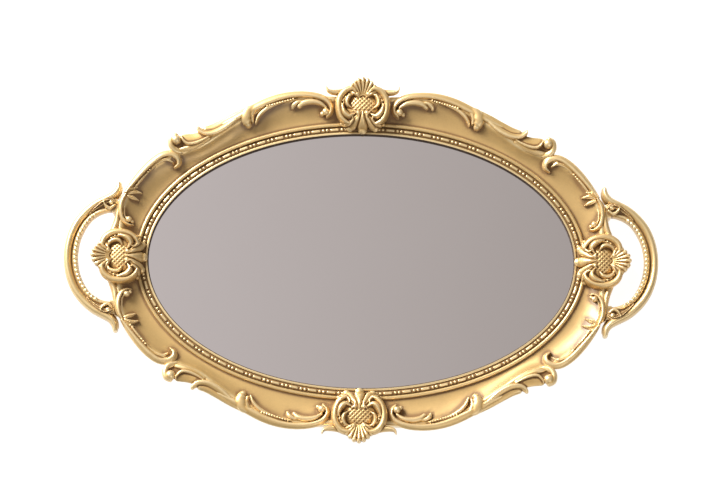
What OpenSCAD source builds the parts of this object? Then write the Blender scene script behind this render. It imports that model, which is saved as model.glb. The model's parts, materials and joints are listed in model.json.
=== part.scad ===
// Oval dresser vanity tray: a gilt cast frame round an oval mirror, two loop handles,
// and applied rococo ornament. The tray rests on its felt base at z = 0; the handles
// lie along X and the back medallion along +Y.

/* [Tray] */
// Mirror opening along the handle axis
sight_length = 279.6; // [230:0.1:340]
// Mirror opening from front to back
sight_width = 168.6; // [140:0.1:205]
// Height of the bright lip round the mirror above the table
lip_height = 10.5; // [10:0.5:14]
// Rise of the ornament ledge above the lip
ledge_rise = 4.5; // [3:0.5:6]

/* [Mirror and back] */
// Thickness of the felt base
felt_thickness = 1; // [0.8:0.1:2]
// Thickness of the backing board
board_thickness = 3; // [2:0.5:4]
// Thickness of the tape between board and mirror
tape_thickness = 0.8; // [0.5:0.1:1.2]
// Thickness of the mirror glass
glass_thickness = 3; // [2:0.1:3.6]
// How far the mirror runs under the lip
glass_overlap = 4; // [3.5:0.5:5]
// How far the board runs past the mirror opening
board_overlap = 11.5; // [9.5:0.1:14]
// Gap round the mirror and the board in their recesses
recess_gap = 0.4; // [0.2:0.1:0.8]

/* [Beads] */
// Pairs of beads round the mirror
bead_pairs = 60; // [40:4:72]
// Radius of one bead
bead_r = 1.15; // [0.8:0.05:1.3]
// Radius of the long reel between two pairs
reel_r = 0.75; // [0.5:0.05:0.85]

/* [Handles] */
// Reach of the outer edge of a handle past the rim of the frame
handle_reach = 35; // [28:1:45]
// Width of the handle bar seen from above
handle_w = 9.5; // [7:0.1:12]
// Height of the handle bar
handle_h = 8; // [6:0.5:10]
// Diameter of the handle screws
handle_screw_d = 4; // [3:0.5:5]

/* [Ornament] */
// Width over the ring of one medallion
medallion_w = 35.6; // [29.5:0.1:43]
// Diameter of the pegs that locate a medallion
peg_d = 4; // [3:0.5:5]
// Height of the scrolls above the ledge
scroll_h = 3; // [2:0.25:4.5]
// Diameter of the backing board screws
board_screw_d = 3; // [2.5:0.5:4]

/* [Hidden] */
$fn = 48;

gold = "#c8a05c";
pale_gold = "#e3c78c";
mirror_grey = "#b3a6a8";
felt_brown = "#4a382c";
steel = "#b9bcc0";
board_brown = "#8a6a48";
tape_white = "#e8e6e0";

// Semi-axes of the mirror opening
sight_a = sight_length / 2;
sight_b = sight_width / 2;
sight = [sight_a, sight_b];

// Stack of levels from the table up
z_felt_top = felt_thickness;
z_board_top = z_felt_top + board_thickness;
z_glass_bottom = z_board_top + tape_thickness;
z_glass_top = z_glass_bottom + glass_thickness;
z_ledge = lip_height + ledge_rise;
z_scroll = z_ledge + scroll_h;

// Section of the frame near the mirror, as distances out from the opening
lip_w = 2;
channel_w = 3.8;
channel_drop = 1.5;
fillet_w = 2.6;
fillet_rise = 1;
strip_w = 3.2;
strip_h = 0.9;
ledge_w = 5.5;
cove_start = lip_w + channel_w + fillet_w + 0.6;
frame_stations = 96;

// Width of the frame from the opening to its outer wall, every 7.5 degrees of a quarter
rim_width = [20.2, 22, 26, 27.5, 26.5, 23.5, 19.5, 21, 24.8, 27.8, 28.2, 26, 23.7];

// ---- Curves -------------------------------------------------------------------------

// A smooth value between four neighbours, at k from 0 to 1
function blend4(p, q, r, s, k) =
    0.5 * (2 * q + (r - p) * k + (2 * p - 5 * q + 4 * r - s) * k * k
           + (3 * q - p - 3 * r + s) * k * k * k);

// A point on the smooth curve through a list, at position u from 0 to its last index
function on_curve(list, u) =
    let (last = len(list) - 1, i = min(floor(u), last - 1))
    blend4(list[max(i - 1, 0)], list[i], list[i + 1], list[min(i + 2, last)], u - i);

function smooth_path(list, steps) =
    [for (i = [0:steps]) on_curve(list, i * (len(list) - 1) / steps)];

// Angle folded into the first quarter
function folded(t) = let (m = (t % 360 + 360) % 180) m > 90 ? 180 - m : m;
function rim_at(t) =
    let (u = folded(t) / 7.5, last = len(rim_width) - 1, i = min(floor(u), last - 1))
    blend4(rim_width[abs(i - 1)], rim_width[i], rim_width[i + 1],
           rim_width[i + 2 > last ? last - 1 : i + 2], u - i);

function on_sight(t, s = sight) = [s[0] * cos(t), s[1] * sin(t)];
function outward(t, s = sight) =
    let (n = [s[1] * cos(t), s[0] * sin(t)]) n / norm(n);
function off_sight(t, d) = on_sight(t) + d * outward(t);

// Distance of a plan point from the opening, found by walking round to its nearest point
function foot_angle(p, s, t, rounds) =
    let (q = norm([s[1] * cos(t), s[0] * sin(t)]),
         d = (p - on_sight(t, s)) * outward(t, s),
         better = atan2(p[1] / (s[1] + d * s[0] / q), p[0] / (s[0] + d * s[1] / q)))
    rounds == 0 ? better : foot_angle(p, s, better, rounds - 1);

// A plan point as an angle round an opening and a distance out from it
function angle_and_distance(p, s = sight) =
    let (t = foot_angle(p, s, atan2(p[1] / s[1], p[0] / s[0]), 8))
    [t, (p - on_sight(t, s)) * outward(t, s)];

// Height of the cove or the ledge of the frame at a plan point
function frame_top(p) =
    let (q = angle_and_distance(p),
         k = (q[1] - cove_start) / (rim_at(q[0]) - ledge_w - cove_start))
    z_cove(max(0, min(1, k)));
function z_cove(k) = lip_height - 0.3 + (ledge_rise + 0.3) * k * k;

// ---- Solids from curves ---------------------------------------------------------------

// Joins rings of points into one closed solid; a looped solid joins its last ring to its first.
// Seen along the way that the rings follow, the points of each ring run anticlockwise.
module skin(rings, looped) {
    sides = len(rings[0]);
    count = len(rings);
    spans = looped ? count : count - 1;
    walls = [for (i = [0:spans - 1], j = [0:sides - 1])
        let (n = (i + 1) % count, m = (j + 1) % sides)
        each [[i * sides + j, i * sides + m, n * sides + m],
              [i * sides + j, n * sides + m, n * sides + j]]];
    ends = looped ? [] : [[for (j = [sides:-1:1]) j % sides],
                          [for (j = [0:sides - 1]) (count - 1) * sides + j]];
    polyhedron([for (ring = rings) each ring], concat(walls, ends));
}

// A moulding with a flat underside and a rounded top. Each point of the path is
// [x, y, half width, top, bottom].
module moulding(path) {
    last = len(path) - 1;
    rings = [for (i = [0:last])
        let (p = path[i],
             along = path[min(i + 1, last)] - path[max(i - 1, 0)],
             side = [along[1], -along[0]] / norm([along[0], along[1]]) * p[2],
             rise = p[3] - p[4])
        [for (s = [[-1, 0], [1, 0], [1, 0.5], [0.6, 0.88], [0, 1], [-0.6, 0.88], [-1, 0.5]])
            [p[0] + side[0] * s[0], p[1] + side[1] * s[0], p[4] + rise * s[1]]]];
    skin(rings, false);
}

// A moulding through hand-set points [x, y, half width, top]; its underside lies on the frame
module seated_moulding(points, steps) {
    path = smooth_path(points, steps);
    moulding([for (p = path) [p[0], p[1], p[2], p[3], frame_top([p[0], p[1]]) - 0.2]]);
}

// A bead with its flat underside let into what it stands on
module bead(r, sunk) {
    translate([0, 0, -sunk]) cylinder(r = r, h = sunk);
    rotate_extrude() intersection() {
        circle(r);
        square(r);
    }
}

module oval_plate(d, height) {
    linear_extrude(height) polygon([for (i = [0:119]) off_sight(i * 3, d)]);
}

module frame_plan(inset) {
    polygon([for (i = [0:119]) off_sight(i * 3, rim_at(i * 3) - inset)]);
}

// ---- Frame ----------------------------------------------------------------------------

board_screws = 8;
board_screw_inset = 3.2;
board_screw_l = 6;
screw_head_d = 2 * board_screw_d;
screw_head_h = 1.4;

// Handle lugs are let into the back of the frame and screwed up into it
lug_y = sight_b * 0.4;
lug_w = 9;
lug_h = 5;
lug_wall = 2;
recess_a = sight_a + board_overlap + recess_gap;
recess_b = sight_b + board_overlap + recess_gap;
lug_x = recess_a * sqrt(1 - pow((lug_y - lug_w / 2) / recess_b, 2)) + lug_wall;
lug_gap = 0.25;
root_gap = 0.4;
root_t = 3.6;
rim_x = sight_a + rim_width[0];
lug_screw_x = lug_x + 8;
handle_screw_l = 10;
handle_x = rim_x + handle_reach - handle_w / 2;
z_handle = z_scroll - handle_h;

module at_board_screws() {
    for (i = [0:board_screws - 1]) {
        t = (i + 0.5) * 360 / board_screws;
        translate(concat(off_sight(t, board_overlap - board_screw_inset), [0])) children();
    }
}

module at_handle_screws() {
    for (sx = [-1, 1], sy = [-1, 1]) translate([sx * lug_screw_x, sy * lug_y, 0]) children();
}

// Medallions stand on the middle of the ledge: [x, y, turn]
medallion_off = 18;
medallions = [[0, sight_b + medallion_off, 0], [0, -sight_b - medallion_off, 180],
              [-sight_a - medallion_off, 0, 90], [sight_a + medallion_off, 0, -90]];
peg_spread = 6;
peg_l = 4;
seat_r = 9.5;
seat_drop = 2;
peg_gap = 0.15;

module at_medallion(m) {
    translate([m[0], m[1], 0]) rotate(m[2]) children();
}

// The section of the frame at angle t, as [distance from the opening, height] pairs
function frame_section(t) =
    let (outer = rim_at(t), span = outer - ledge_w - cove_start, fillet_in = lip_w + channel_w)
    concat([[0, z_glass_top], [glass_overlap + recess_gap, z_glass_top],
            [glass_overlap + recess_gap, z_board_top], [board_overlap + recess_gap, z_board_top],
            [board_overlap + recess_gap, z_felt_top], [outer - 1.2, z_felt_top],
            [outer, z_felt_top + 2], [outer, z_ledge - 1.2], [outer - 0.8, z_ledge]],
           [for (k = [1, 0.8, 0.55, 0.3, 0]) [cove_start + span * k, z_cove(k)]],
           [[fillet_in + fillet_w, lip_height + fillet_rise * 0.4],
            [fillet_in + fillet_w / 2, lip_height + fillet_rise],
            [fillet_in + 0.4, lip_height + fillet_rise * 0.5],
            [fillet_in, lip_height - channel_drop], [lip_w, lip_height - channel_drop],
            [lip_w - 0.4, lip_height], [0.5, lip_height], [0, lip_height - 0.6]]);

module frame_moulding() {
    skin([for (i = [0:frame_stations - 1])
        let (t = i * 360 / frame_stations, n = outward(t), s = on_sight(t))
        [for (c = frame_section(t)) [s[0] + n[0] * c[0], s[1] + n[1] * c[0], c[1]]]], true);
}

module frame() color(gold) difference() {
    union() {
        frame_moulding();
        for (m = medallions) at_medallion(m) translate([0, 0, lip_height - seat_drop])
            cylinder(r = seat_r, h = seat_drop + ledge_rise);
    }
    at_board_screws() translate([0, 0, z_board_top - 1])
        cylinder(d = board_screw_d, h = 1 + z_felt_top + board_screw_l - z_board_top + 0.5);
    at_handle_screws() translate([0, 0, z_felt_top])
        cylinder(d = handle_screw_d, h = handle_screw_l + 0.5);
    for (sx = [-1, 1], sy = [-1, 1])
        translate([sx * (lug_x - lug_gap + 20), sy * lug_y, z_felt_top - 1 + (lug_h + 1) / 2])
            cube([40, lug_w + 2 * lug_gap, lug_h + 1 + lug_gap], center = true);
    for (m = medallions) at_medallion(m)
        for (s = [-1, 1]) translate([s * peg_spread, 0, z_ledge - peg_l - 0.5])
            cylinder(d = peg_d + 2 * peg_gap, h = peg_l + 1);
}

// ---- Beads ----------------------------------------------------------------------------

strip_in = lip_w + (channel_w - strip_w) / 2;
strip_mid = strip_in + strip_w / 2;
z_strip = lip_height - channel_drop + strip_h;

// Beads keep an even pitch round the oval, so their angles follow the length along it
arc_steps = 90;
arc_lengths = [for (i = 0, s = 0; i <= arc_steps;
                    s = s + norm(off_sight((i + 1) * 90 / arc_steps, strip_mid)
                                 - off_sight(i * 90 / arc_steps, strip_mid)), i = i + 1) s];
quarter = arc_lengths[arc_steps];
function angle_at(s) = lookup(s, [for (i = [0:arc_steps]) [arc_lengths[i], i * 90 / arc_steps]]);
bead_pitch = 4 * quarter / bead_pairs;
pair_gap = 2.1 * bead_r;
reel_l = bead_pitch - 2 * pair_gap - bead_r;

module along_strip(s) {
    t = angle_at(s);
    n = outward(t);
    translate(concat(off_sight(t, strip_mid), [z_strip])) rotate(atan2(n[1], n[0])) children();
}

// The pairs of one quarter; the pairs on the axes hide under the medallions and are left out
module quarter_of_beads() {
    for (i = [1:bead_pairs / 4 - 1], s = [-0.5, 0.5])
        along_strip(i * bead_pitch + s * pair_gap) bead(bead_r, 0.3);
    for (i = [1:bead_pairs / 4 - 2])
        along_strip((i + 0.5) * bead_pitch) rotate([90, 0, 0])
            cylinder(r = reel_r, h = reel_l, center = true);
}

module bead_and_reel_ring() color(pale_gold) {
    translate([0, 0, z_strip - strip_h]) linear_extrude(strip_h) difference() {
        polygon([for (i = [0:119]) off_sight(i * 3, strip_in + strip_w)]);
        polygon([for (i = [0:119]) off_sight(i * 3, strip_in)]);
    }
    for (mx = [0, 1], my = [0, 1])
        mirror([mx, 0, 0]) mirror([0, my, 0]) quarter_of_beads();
}

// ---- Mirror and back --------------------------------------------------------------------

module mirror_glass() color(mirror_grey) translate([0, 0, z_glass_bottom])
    oval_plate(glass_overlap, glass_thickness);

tape_l = 60;
tape_w = 15;

module mirror_tape_strips() color(tape_white)
    for (x = [-1, 1], y = [-1, 1])
        translate([x * sight_a * 0.42, y * sight_b * 0.45, z_board_top + tape_thickness / 2])
            cube([tape_l, tape_w, tape_thickness], center = true);

module backing_board() color(board_brown) difference() {
    translate([0, 0, z_felt_top]) oval_plate(board_overlap, board_thickness);
    at_board_screws() {
        cylinder(d = board_screw_d + 0.4, h = 3 * board_thickness);
        translate([0, 0, z_felt_top - 0.01])
            cylinder(d1 = screw_head_d + 0.4, d2 = board_screw_d + 0.4, h = screw_head_h);
    }
}

module countersunk_screw(d, head_d, head_h, length) {
    difference() {
        union() {
            cylinder(d1 = head_d, d2 = d, h = head_h);
            cylinder(d = d, h = length);
        }
        cylinder(d = d * 0.45, h = head_h * 0.7, $fn = 6);
    }
}

module backing_screws() color(steel) at_board_screws()
    translate([0, 0, z_felt_top])
        countersunk_screw(board_screw_d, screw_head_d, screw_head_h, board_screw_l);

felt_inset = 2;

module felt_base() color(felt_brown)
    linear_extrude(felt_thickness) frame_plan(felt_inset);

// ---- Handles --------------------------------------------------------------------------

loop_y = lug_y;
bar_x = handle_x - rim_x;

// Half a loop: [x, y] from the root at the frame to the middle of the bar
half_loop = [[rim_x + root_gap, loop_y], [rim_x + bar_x * 0.22, loop_y + 1.2],
             [rim_x + bar_x * 0.45, loop_y - 1.5], [rim_x + bar_x * 0.63, loop_y - 6],
             [rim_x + bar_x * 0.82, loop_y - 13], [rim_x + bar_x * 0.95, loop_y - 23],
             [handle_x, 0]];
loop_line = concat(half_loop, [for (i = [len(half_loop) - 2:-1:0])
                               [half_loop[i][0], -half_loop[i][1]]]);

// Section of the bar as shares of its width and height, from the dip between its two rolls:
// a lower inner roll and a smooth outer roll
bar_section = [[0.02, 0.72], [0.15, 0.97], [0.35, 0.97], [0.49, 0.75], [0.5, 0.3], [0.4, 0],
               [-0.42, 0.06], [-0.5, 0.25], [-0.4, 0.72], [-0.2, 0.86]];

module handle_loop() {
    path = smooth_path(loop_line, 40);
    last = len(path) - 1;
    skin([for (i = [0:last])
        let (p = path[i], along = path[min(i + 1, last)] - path[max(i - 1, 0)],
             out = [-along[1], along[0]] / norm(along) * handle_w)
        [for (s = bar_section)
            [p[0] + out[0] * s[0], p[1] + out[1] * s[0], z_handle + handle_h * s[1]]]], false);
}

// Leaf that wraps a root of the handle, from the bar back to its free tip beside the frame
root_leaf = [[rim_x + 17, loop_y - 3, 1.5, z_scroll - 1], [rim_x + 11, loop_y + 2.5, 3.4, z_scroll + 1],
             [rim_x + 5, loop_y + 5, 3.2, z_scroll + 0.5], [rim_x + 1.5, loop_y + 9, 2.2, z_scroll],
             [rim_x, loop_y + 15.5, 0.5, z_scroll - 1]];

module handle() color(gold) difference() {
    union() {
        handle_loop();
        for (s = [-1, 1]) {
            mirror([0, s < 0 ? 1 : 0, 0]) moulding([for (p = smooth_path(root_leaf, 12))
                [p[0], p[1], p[2], p[3], z_handle + 1.5]]);
            translate([lug_x, s * lug_y - lug_w / 2, z_felt_top])
                cube([rim_x + root_gap + root_t - lug_x, lug_w, lug_h]);
            translate([rim_x + root_gap, s * lug_y - lug_w / 2, z_felt_top])
                cube([root_t, lug_w, z_handle + handle_h * 0.7 - z_felt_top]);
        }
    }
    for (s = [-1, 1]) translate([lug_screw_x, s * lug_y, z_felt_top - 0.01]) {
        cylinder(d = handle_screw_d + 0.4, h = 2 * lug_h);
        cylinder(d1 = 2 * handle_screw_d + 0.4, d2 = handle_screw_d + 0.4, h = 2);
    }
}

module handle_right() handle();
module handle_left() mirror([1, 0, 0]) handle();

module handle_screws() color(steel) at_handle_screws() translate([0, 0, z_felt_top])
    countersunk_screw(handle_screw_d, 2 * handle_screw_d, 2, handle_screw_l);

// ---- Medallions -------------------------------------------------------------------------

drawn_medallion_w = 35.6;
med = medallion_w / drawn_medallion_w;

// Half of the open ring, [x, y, half width, top above the seat]: a C-scroll from its upper
// curl round to the lower curl
ring_scroll = [[3.8, 8, 1.3, 5.5], [5, 10.6, 1.7, 6.5], [9, 11, 2, 6.5], [13.5, 8, 2.2, 6],
               [15.6, 2.5, 2.3, 5.5], [15.2, -3.5, 2.2, 5], [12, -8.4, 2, 4.5],
               [7.5, -9, 1.7, 4], [4.8, -6.5, 1.4, 4]];
plate_half_w = 14;
plate_half_l = 11.5;
plate_t = 2;

// One fold of the fan or the lily: a plump strip that runs out from the middle and tapers.
// Each station is [distance, half width, top, bottom].
module fold(angle, stations) {
    rotate(-angle) moulding([for (p = smooth_path(stations, 5)) [0, p[0], p[1], p[2], p[3]]]);
}
fan_folds = [[-52, 12.8], [-35, 15.4], [-18, 17.4], [0, 18.3], [18, 17.4], [35, 15.4], [52, 12.8]];
lily_folds = [[-32, 13.4], [-16, 16.6], [0, 18], [16, 16.6], [32, 13.4]];

// The dome of the shield, cut flat at the plate
dome_r = 11.5;
dome_half_w = 9.5;

module medallion() color(pale_gold) translate([0, 0, z_ledge]) scale(med) {
    linear_extrude(plate_t)
        polygon([for (i = [0:47]) [plate_half_w * cos(i * 7.5), plate_half_l * sin(i * 7.5)]]);
    for (s = [0, 1]) mirror([s, 0, 0]) {
        moulding([for (p = smooth_path(ring_scroll, 18)) [p[0], p[1], p[2], p[3], plate_t / 2]]);
        translate([3.6, 8.2, 3.2]) sphere(1.9);
        translate([4.6, -5.8, 2.4]) sphere(1.8);
    }
    intersection() {
        translate([0, 0, 5 - dome_r]) sphere(dome_r);
        translate([0, 0, plate_t / 2]) cylinder(r = dome_half_w, h = dome_r);
    }
    for (f = fan_folds) let (l = f[1])
        fold(f[0], [[l * 0.35, 1, 4.5, 2], [l * 0.6, 1.8, 6.5, 2.4], [l * 0.85, 2.1, 8, 3], [l, 0.6, 8.5, 5]]);
    for (f = lily_folds) let (l = f[1])
        fold(180 + f[0], [[l * 0.35, 0.9, 4, 1], [l * 0.6, 1.4, 3, 1], [l * 0.8, 1.6, 0, -2.6],
                          [l, 0.5, -2, -3.3]]);
}

module medallion_pegs() color(pale_gold) for (s = [-1, 1])
    translate([s * peg_spread, 0, z_ledge - peg_l]) cylinder(d = peg_d, h = peg_l + plate_t / 2);

// The back and front medallions also carry a pair of wing feathers
wing = [[10, 11, 1.4, 8], [15, 9.5, 1.8, 8.5], [20, 9.6, 1.6, 9], [24.2, 12.3, 0.4, 10]];

module wing_feathers() color(pale_gold) translate([0, 0, z_ledge]) scale(med) for (s = [0, 1])
    mirror([s, 0, 0]) moulding([for (p = smooth_path(wing, 10)) [p[0], p[1], p[2], p[3] - 4, 0]]);

module pegged_medallion() {
    medallion();
    medallion_pegs();
}
module winged_medallion() {
    pegged_medallion();
    wing_feathers();
}
module medallion_back() at_medallion(medallions[0]) winged_medallion();
module medallion_front() at_medallion(medallions[1]) winged_medallion();
module medallion_left() at_medallion(medallions[2]) pegged_medallion();
module medallion_right() at_medallion(medallions[3]) pegged_medallion();

// ---- Applied scrolls ------------------------------------------------------------------

// The ornament is drawn round this opening, between medallions of drawn_medallion_w. On any
// other tray it keeps its distance from the opening and its angle round it, save that near a
// wider medallion it moves along to make room, and on a longer oval its strokes grow wider.
drawn_sight = [139.8, 84.3];
room = 14.5;
laid_size = max(1, (sight_a / drawn_sight[0] + sight_b / drawn_sight[1]) / 2);

// Angles at which the side and the back medallions leave off
function medallion_ends(s, w) =
    [asin(w / 2 / (s[1] + rim_width[12])), acos(w / 2 / (s[0] + rim_width[0]))];
drawn_ends = medallion_ends(drawn_sight, drawn_medallion_w);
end_shift = medallion_ends(sight, medallion_w) - drawn_ends;

function near(gap) = 1 - max(0, min(1, gap / room));

function laid_point(p) =
    let (q = angle_and_distance(p, drawn_sight), t = q[0])
    off_sight(t + end_shift[0] * near(t - drawn_ends[0]) + end_shift[1] * near(drawn_ends[1] - t),
              q[1]);

// Hand-set points [x, y, half width, height above the scrolls' level], laid on this frame
function laid(points) =
    [for (p = points) let (q = laid_point(p)) [q[0], q[1], laid_size * p[2], z_scroll + p[3]]];

module stroke(points, steps = 12) seated_moulding(laid(points), steps);

// A round knob whose underside is let into the frame
module knob(x, y, drawn_r, top) {
    q = laid_point([x, y]);
    r = laid_size * drawn_r;
    z = frame_top(q) - 0.2;
    translate([q[0], q[1], 0]) {
        translate([0, 0, z]) cylinder(r = r * 0.8, h = z_scroll + top - r - z);
        translate([0, 0, z_scroll + top - r]) sphere(r);
    }
}

// A row of small beads between two plan points, standing on the frame
module bead_row(from, to, count, r) {
    for (i = [0:count - 1]) {
        q = laid_point(from + (to - from) * i / (count - 1));
        translate([q[0], q[1], frame_top(q)]) bead(r, 0.3, $fn = 24);
    }
}

arch_rim = [[24.2, 95.9, 0.9, -3], [21.4, 99.3, 1.5, -2], [22.8, 104.6, 1.8, -1],
            [29, 108.9, 2, -0.3], [38, 110.4, 2.2, 0], [50, 109.3, 2.5, 0],
            [62, 105.4, 2.7, 0], [74, 99.6, 2.5, 0], [85, 93.6, 2, 0], [96, 88.4, 1, -0.8]];
arch_finger = [[65, 101.5, 1.2, -1], [70.5, 100, 2.4, -0.5], [74.6, 96.5, 3.6, -0.6],
               [75, 92, 3.9, -2], [74.7, 88.9, 2.2, -5]];
arch_leaf = [[25.6, 102.4, 1, -2.4], [30, 104.4, 1.7, -1.6], [37, 104.6, 1.6, -1.8],
             [42.6, 102.4, 1.1, -2.6], [46.5, 100.4, 0.4, -3.6]];

module arch_scroll() color(gold) {
    stroke(arch_rim, 22);
    stroke(arch_finger);
    stroke(arch_leaf, 10);
    knob(25.3, 98.7, 2.5, -1.6);
    bead_row([44, 105.4], [62, 100.4], 9, 0.8);
}

ess_first = [[81, 95.6, 1, -0.4], [86, 91.2, 2, 0], [92.5, 86.4, 2.4, 0.4], [99, 82.9, 2.2, 0.6],
             [104.6, 83, 1.8, 0.8], [108.6, 86.2, 0.7, 0.9]];
ess_second = [[101, 82, 1.2, 0], [106, 78.4, 2.3, 0.6], [111.5, 76, 2.5, 1], [117, 76.4, 2, 1.4]];
ess_tail = [[127, 77.6, 1.3, 0], [126.2, 74.2, 1.7, 0.6], [122.6, 71.8, 1.6, 0.2],
            [117.6, 72.2, 0.7, -1.4]];

module ess_scroll() color(gold) {
    stroke(ess_first);
    stroke(ess_second, 10);
    stroke(ess_tail, 8);
    knob(122.8, 77.8, 3.6, 2.4);
}

corner_outer = [[123, 60.6, 0.8, -3.2], [120.3, 63.4, 1.4, -2.4], [121.7, 67, 1.7, -1.4],
                [127, 69.2, 2, -0.6], [133.4, 67.2, 2.3, 0], [140.6, 61.2, 2.4, 0.4],
                [147.8, 53, 2.2, 0.8], [154.6, 43.6, 1.2, 1]];
corner_inner = [[124.4, 63.6, 0.7, -2.8], [128.6, 64.6, 1.2, -1.6], [134, 62.4, 1.3, -1],
                [139.4, 57.8, 1.2, -1], [144.6, 51.6, 0.8, -1.6]];

module corner_scroll() color(gold) {
    stroke(corner_outer, 18);
    stroke(corner_inner, 10);
    bead_row([138.4, 55.8], [148, 44.6], 7, 0.8);
}

side_stem = [[155.2, 41.6, 1.2, 0.4], [157.2, 37, 1.8, 0], [158, 31.4, 1.8, 0],
             [157, 26.2, 1.6, -0.6], [154.4, 22, 1.4, -1.6], [151, 21.4, 0.8, -3]];

module side_scroll() color(gold) {
    stroke(side_stem, 14);
    knob(152.8, 25, 2.2, -1.2);
}

sprig_leaves = [[[152.4, 42.2, 0.8, -1.2], [149, 43, 1.5, -1], [144.8, 42.2, 0.3, -2.8]],
                [[153, 43.6, 0.7, -1.2], [150.4, 45, 1.3, -1], [147.2, 45.4, 0.3, -2.4]],
                [[153, 40.8, 0.8, -1.2], [150, 40, 1.4, -1.2], [146.4, 38.8, 0.3, -3]]];

module leaf_sprig() color(gold) for (leaf = sprig_leaves) stroke(leaf, 7);

// Puts a piece drawn in the back right quarter into another quarter
module back_left() mirror([1, 0, 0]) children();
module front_right() mirror([0, 1, 0]) children();
module front_left() mirror([1, 0, 0]) mirror([0, 1, 0]) children();

module arch_scroll_back_right() arch_scroll();
module arch_scroll_back_left() back_left() arch_scroll();
module arch_scroll_front_left() front_left() arch_scroll();
module arch_scroll_front_right() front_right() arch_scroll();
module ess_scroll_back_right() ess_scroll();
module ess_scroll_back_left() back_left() ess_scroll();
module ess_scroll_front_left() front_left() ess_scroll();
module ess_scroll_front_right() front_right() ess_scroll();
module corner_scroll_back_right() corner_scroll();
module corner_scroll_back_left() back_left() corner_scroll();
module corner_scroll_front_left() front_left() corner_scroll();
module corner_scroll_front_right() front_right() corner_scroll();
module side_scroll_back_right() side_scroll();
module side_scroll_back_left() back_left() side_scroll();
module side_scroll_front_left() front_left() side_scroll();
module side_scroll_front_right() front_right() side_scroll();
module leaf_sprig_back_right() leaf_sprig();
module leaf_sprig_back_left() back_left() leaf_sprig();
module leaf_sprig_front_left() front_left() leaf_sprig();
module leaf_sprig_front_right() front_right() leaf_sprig();

frame();
bead_and_reel_ring();
mirror_glass();
mirror_tape_strips();
backing_board();
backing_screws();
felt_base();
handle_left();
handle_right();
handle_screws();
medallion_back();
medallion_front();
medallion_left();
medallion_right();
arch_scroll_back_right();
arch_scroll_back_left();
arch_scroll_front_left();
arch_scroll_front_right();
ess_scroll_back_right();
ess_scroll_back_left();
ess_scroll_front_left();
ess_scroll_front_right();
corner_scroll_back_right();
corner_scroll_back_left();
corner_scroll_front_left();
corner_scroll_front_right();
side_scroll_back_right();
side_scroll_back_left();
side_scroll_front_left();
side_scroll_front_right();
leaf_sprig_back_right();
leaf_sprig_back_left();
leaf_sprig_front_left();
leaf_sprig_front_right();
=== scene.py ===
# %% [markdown]
# # A gilt oval vanity tray
# The tray is a cast frame round an oval mirror, with rococo ornament and two loop handles. The
# imported model gives the outer box, the opening and the main levels, so this script opens it
# first. The ornament has more small shapes than the imported solids, and their sizes are set here,
# cell by cell.
# %% Open the imported model
import json
import math
import bmesh
import bpy
import numpy as np
from mathutils import Matrix, Vector
from mathutils.bvhtree import BVHTree

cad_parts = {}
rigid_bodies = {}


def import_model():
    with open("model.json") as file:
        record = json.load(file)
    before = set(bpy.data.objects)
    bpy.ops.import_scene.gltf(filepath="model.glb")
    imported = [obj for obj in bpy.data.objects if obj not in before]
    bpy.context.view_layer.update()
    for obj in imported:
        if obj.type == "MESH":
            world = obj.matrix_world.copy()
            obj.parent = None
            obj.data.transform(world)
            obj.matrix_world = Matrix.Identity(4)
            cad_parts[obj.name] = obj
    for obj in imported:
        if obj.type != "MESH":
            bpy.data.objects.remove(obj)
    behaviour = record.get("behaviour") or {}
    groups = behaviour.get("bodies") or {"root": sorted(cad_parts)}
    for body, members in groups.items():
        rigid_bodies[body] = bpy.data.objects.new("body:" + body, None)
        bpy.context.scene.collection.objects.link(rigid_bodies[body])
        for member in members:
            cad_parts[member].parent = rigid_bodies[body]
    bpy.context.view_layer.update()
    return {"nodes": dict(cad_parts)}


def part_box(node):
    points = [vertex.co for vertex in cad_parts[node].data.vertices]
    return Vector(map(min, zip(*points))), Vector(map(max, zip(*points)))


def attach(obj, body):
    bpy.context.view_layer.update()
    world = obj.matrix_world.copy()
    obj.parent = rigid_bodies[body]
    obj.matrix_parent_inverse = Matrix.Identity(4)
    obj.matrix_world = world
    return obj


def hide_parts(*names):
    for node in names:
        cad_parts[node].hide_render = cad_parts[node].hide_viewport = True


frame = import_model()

# %% [markdown]
# A maker of frames thinks in millimetres, so every outline below is in millimetres and is made
# small at the very end. The mirror glass fixes the opening, because it runs a set way under the
# lip, and the levels above it follow from the lip.
# %% Sizes of the tray
MM = 0.001
GLASS_OVERLAP = 4
LIP_ABOVE_GLASS = 2.7
LEDGE_RISE = 4.5
SCROLL_RISE = 3


def box_mm(node):
    low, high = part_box(node)
    return Vector(low) / MM, Vector(high) / MM


glass_high = box_mm("mirror_glass")[1]
SIGHT_A = glass_high.x - GLASS_OVERLAP
SIGHT_B = glass_high.y - GLASS_OVERLAP
Z_GLASS = glass_high.z
Z_LIP = Z_GLASS + LIP_ABOVE_GLASS
Z_LEDGE = Z_LIP + LEDGE_RISE
Z_SCROLL = Z_LEDGE + SCROLL_RISE
Z_BOTTOM = box_mm("frame")[0].z
Z_BOARD = box_mm("backing_board")[1].z
print(f"opening {2 * SIGHT_A:.1f} x {2 * SIGHT_B:.1f} mm, lip at {Z_LIP:.1f} mm")

# %% [markdown]
# ## Camera
# The tray is seen from nearly straight above, through a long lens that keeps the oval free of
# perspective. The camera leans ten degrees towards the front and turns a fraction of a degree.
# %% Camera
CAMERA_TILT = math.radians(10)
CAMERA_ROLL = math.radians(0.666)
CAMERA_DISTANCE = 1608
CAMERA_AIM = Vector((-2.4, 8.8, Z_LIP))

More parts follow.
